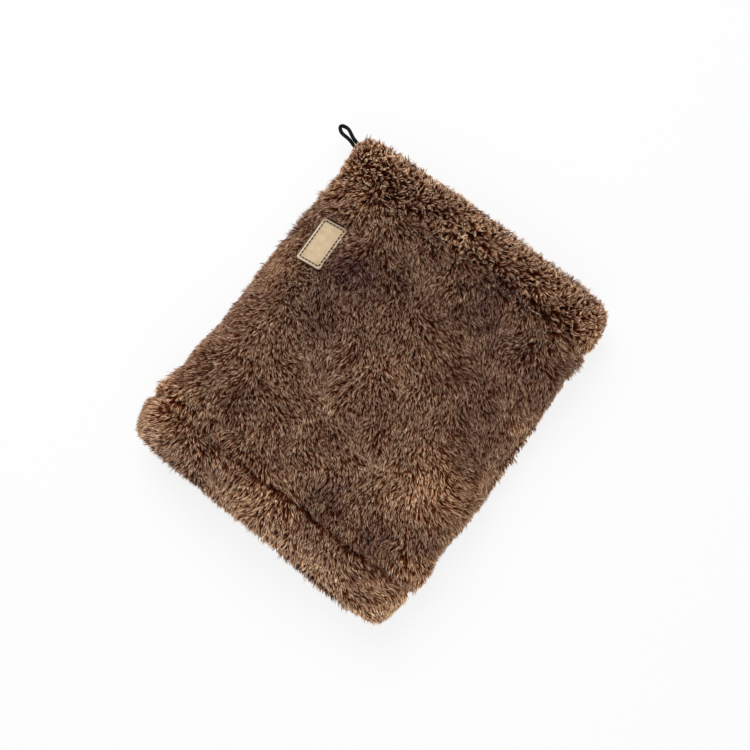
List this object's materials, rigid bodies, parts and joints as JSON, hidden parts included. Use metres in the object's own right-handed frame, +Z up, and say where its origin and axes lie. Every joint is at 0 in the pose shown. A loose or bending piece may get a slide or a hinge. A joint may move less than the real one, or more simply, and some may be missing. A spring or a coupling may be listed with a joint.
{
  "type": "hand warmer muff",
  "caption": "Padded pile-fleece hand muff, a flat tube open at both ends with folded cuffs, a sewn label, a corner cord loop and an inner heat-pack pocket.",
  "frame": {"origin": "under the middle of the muff, on the surface that its back lies on; the cord loop isn't counted", "axes": "+X from the mouth beside the loop to the other mouth, +Y from the label's side fold to the other fold, +Z up through the front"},
  "size_m": [0.312, 0.2793, 0.06],
  "materials": {
    "pile_fleece": "brown curly pile fleece",
    "lining_fleece": "short brown fleece",
    "wadding": "white polyester wadding",
    "seam_edges": "knitted fleece backing",
    "brown_thread": "dark brown sewing thread",
    "tan_leather": "matt tan leather",
    "black_cord": "black braided round cord",
    "brown_tape": "brown woven tape",
    "pack_paper": "off-white nonwoven pouch"
  },
  "bodies": {
    "muff": {"front_shell": "pile_fleece", "back_shell": "pile_fleece", "left_cuff": "pile_fleece", "right_cuff": "pile_fleece", "front_wadding": "wadding", "back_wadding": "wadding", "front_lining": "lining_fleece", "back_lining": "lining_fleece", "upper_side_seam": "seam_edges", "lower_side_seam": "seam_edges", "left_cuff_stitching": "brown_thread", "right_cuff_stitching": "brown_thread", "label": "tan_leather", "label_stitching": "brown_thread", "loop_tails": "black_cord", "warmer_pocket": "lining_fleece", "pocket_binding": "brown_tape", "pocket_stitching": "brown_thread"},
    "hang_loop": {"hang_loop": "black_cord"},
    "heat_pack": {"heat_pack": "pack_paper"}
  },
  "joints": [
    {"name": "loop_swing", "type": "hinge", "parent": "muff", "child": "hang_loop", "pos_m": [-0.144, -0.1278, 0.023], "axis": [1, 0, 0], "range_deg": [-100, 45]},
    {"name": "pack_slide", "type": "slide", "parent": "muff", "child": "heat_pack", "axis": [1, 0, 0], "range_m": [0, 0.19]}
  ]
}
